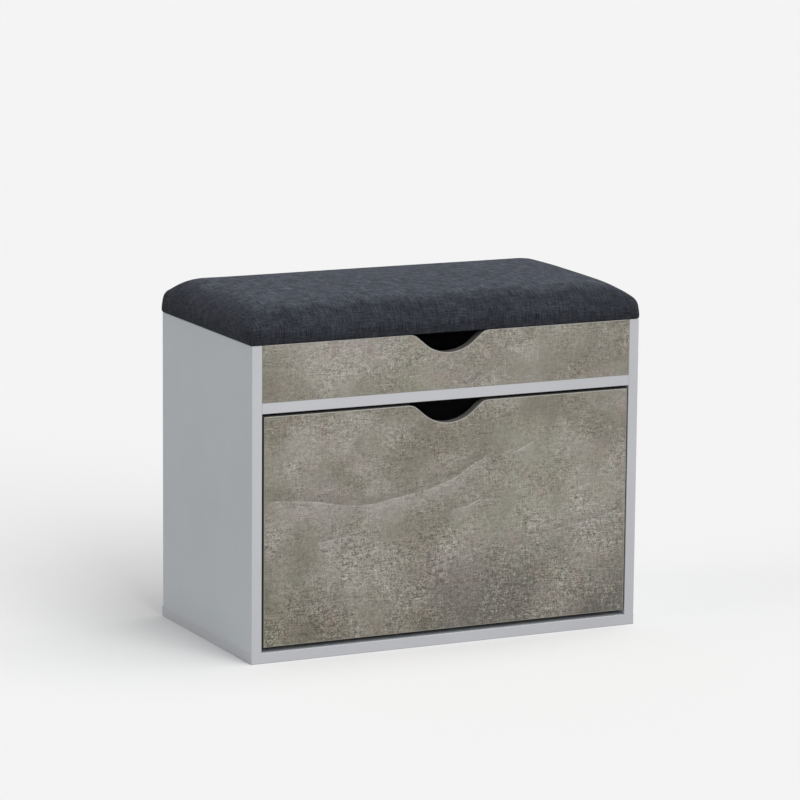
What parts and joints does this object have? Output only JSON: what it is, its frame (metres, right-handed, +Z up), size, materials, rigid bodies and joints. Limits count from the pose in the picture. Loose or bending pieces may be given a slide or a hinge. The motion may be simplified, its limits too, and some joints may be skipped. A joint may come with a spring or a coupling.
{
  "type": "entryway bench",
  "caption": "Entryway storage bench with a padded lift-up seat over a shallow compartment and a concrete-look lower front that tilts out with a shoe rack.",
  "frame": {"origin": "centre of the bottom panel's underside", "axes": "+Z up, +X to the right seen from the front, +Y to the back"},
  "size_m": [0.607, 0.3268, 0.5011],
  "materials": {
    "white_board": "satin",
    "concrete_board": "matte",
    "hardboard": "matte",
    "raw_board": "matte",
    "seat_fabric": "matte",
    "foam": "matte",
    "lining": "matte",
    "steel": "satin",
    "plastic": "satin",
    "rubber": "matte"
  },
  "bodies": {
    "carcass": {"bottom_panel": "white_board", "left_side_panel": "white_board", "right_side_panel": "white_board", "middle_shelf": "white_board", "upper_front_panel": "concrete_board", "rear_rail": "white_board", "back_panel": "hardboard", "left_shelf_front_cam": "steel", "right_shelf_front_cam": "steel", "left_shelf_rear_cam": "steel", "right_shelf_rear_cam": "steel", "left_rail_cam": "steel", "right_rail_cam": "steel", "left_upper_front_cam": "steel", "right_upper_front_cam": "steel", "left_shelf_front_bolt": "steel", "right_shelf_front_bolt": "steel", "left_shelf_rear_bolt": "steel", "right_shelf_rear_bolt": "steel", "left_rail_bolt": "steel", "right_rail_bolt": "steel", "left_upper_front_bolt": "steel", "right_upper_front_bolt": "steel", "left_bottom_screw_front": "steel", "right_bottom_screw_front": "steel", "left_bottom_screw_rear": "steel", "right_bottom_screw_rear": "steel", "left_seat_bumper": "rubber", "right_seat_bumper": "rubber", "left_pivot_plate": "plastic", "right_pivot_plate": "plastic", "left_hinge_fixed_leaf": "steel", "right_hinge_fixed_leaf": "steel", "left_hinge_pin": "steel", "right_hinge_pin": "steel", "left_stay_guide": "steel", "right_stay_guide": "steel"},
    "flap": {"lower_front_panel": "concrete_board", "left_rack_side": "plastic", "right_rack_side": "plastic", "rack_base": "hardboard", "rack_divider": "hardboard", "rack_rear_board": "hardboard"},
    "lid": {"seat_cover": "seat_fabric", "seat_foam": "foam", "seat_board": "raw_board", "seat_lining": "lining", "left_hinge_moving_leaf": "steel", "right_hinge_moving_leaf": "steel", "left_stay_arm": "steel", "right_stay_arm": "steel"}
  },
  "joints": [
    {"name": "flap_pivot", "type": "hinge", "parent": "carcass", "child": "flap", "pos_m": [0, -0.1369, 0.0617], "axis": [1, 0, 0], "range_deg": [0, 42]},
    {"name": "lid_hinge", "type": "hinge", "parent": "carcass", "child": "lid", "pos_m": [0, 0.1628, 0.4461], "axis": [-1, 0, 0], "range_deg": [0, 66]}
  ]
}
